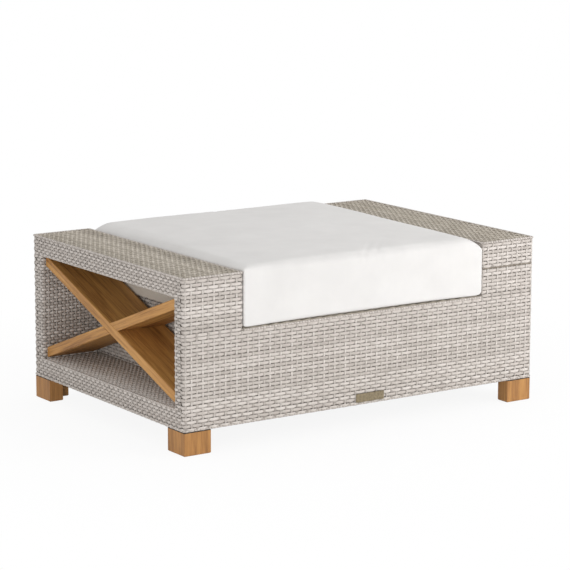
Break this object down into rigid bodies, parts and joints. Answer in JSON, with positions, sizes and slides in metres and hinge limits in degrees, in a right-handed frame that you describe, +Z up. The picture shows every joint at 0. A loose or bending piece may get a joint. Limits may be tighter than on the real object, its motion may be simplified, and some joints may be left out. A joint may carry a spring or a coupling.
{
  "type": "outdoor ottoman footstool",
  "caption": "Low woven patio footstool with wide flat arms, a loose boxed cushion in the recess between them, open ends with crossed teak dividers, and teak block feet.",
  "frame": {"origin": "on the floor, under the middle of the body", "axes": "+X along the length towards the right arm, +Y towards the back, +Z up; the front with the small plate faces -Y"},
  "size_m": [1.17, 0.8147, 0.4958],
  "materials": {
    "wicker": "woven flat resin strand, pale greige, satin",
    "wicker_top": "woven flat resin strand, greige, satin",
    "frame_coat": "taupe powder coat on welded aluminium tube",
    "teak_feet": "sanded oiled teak",
    "teak_planks": "sanded oiled teak",
    "canvas": "white solution-dyed canvas",
    "foam": "open-cell outdoor foam",
    "zip_tape": "woven tape with moulded coil",
    "zip_metal": "brushed",
    "plate_brass": "aged satin, blank"
  },
  "bodies": {
    "base": {"front_left_corner_post": "frame_coat", "front_left_inner_post": "frame_coat", "front_left_arm_rail": "frame_coat", "front_left_foot": "teak_feet", "front_right_corner_post": "frame_coat", "front_right_inner_post": "frame_coat", "front_right_arm_rail": "frame_coat", "front_right_foot": "teak_feet", "front_seat_rail": "frame_coat", "front_bottom_rail": "frame_coat", "front_woven_panel": "wicker", "back_left_corner_post": "frame_coat", "back_left_inner_post": "frame_coat", "back_left_arm_rail": "frame_coat", "back_left_foot": "teak_feet", "back_right_corner_post": "frame_coat", "back_right_inner_post": "frame_coat", "back_right_arm_rail": "frame_coat", "back_right_foot": "teak_feet", "back_seat_rail": "frame_coat", "back_bottom_rail": "frame_coat", "back_woven_panel": "wicker", "left_outer_bottom_rail": "frame_coat", "left_inner_bottom_rail": "frame_coat", "left_outer_arm_rail": "frame_coat", "left_inner_arm_rail": "frame_coat", "left_seat_side_rail": "frame_coat", "left_seat_slat": "frame_coat", "left_compartment_flat_rail": "frame_coat", "left_end_woven_rim": "wicker", "left_arm_woven_top": "wicker_top", "left_inner_woven_panel": "wicker", "left_compartment_floor": "wicker", "left_compartment_ceiling": "wicker", "left_compartment_front_wall": "wicker", "left_compartment_back_wall": "wicker", "left_x_plank_falling_to_back": "teak_planks", "left_x_plank_falling_to_front": "teak_planks", "right_outer_bottom_rail": "frame_coat", "right_inner_bottom_rail": "frame_coat", "right_outer_arm_rail": "frame_coat", "right_inner_arm_rail": "frame_coat", "right_seat_side_rail": "frame_coat", "right_seat_slat": "frame_coat", "right_compartment_flat_rail": "frame_coat", "right_end_woven_rim": "wicker", "right_arm_woven_top": "wicker_top", "right_inner_woven_panel": "wicker", "right_compartment_floor": "wicker", "right_compartment_ceiling": "wicker", "right_compartment_front_wall": "wicker", "right_compartment_back_wall": "wicker", "right_x_plank_falling_to_back": "teak_planks", "right_x_plank_falling_to_front": "teak_planks", "seat_woven_deck": "wicker", "front_blank_plate": "plate_brass"},
    "cushion": {"cushion_cover": "canvas", "cushion_foam_core": "foam", "cushion_zip_band": "zip_tape"},
    "zip_slider": {"cushion_zip_slider": "zip_metal"}
  },
  "joints": [
    {"name": "cushion_lift", "type": "slide", "parent": "base", "child": "cushion", "axis": [0, 0, 1], "range_m": [0, 0.21]},
    {"name": "zip_run", "type": "slide", "parent": "cushion", "child": "zip_slider", "axis": [-1, 0, 0], "range_m": [0, 0.476]}
  ]
}
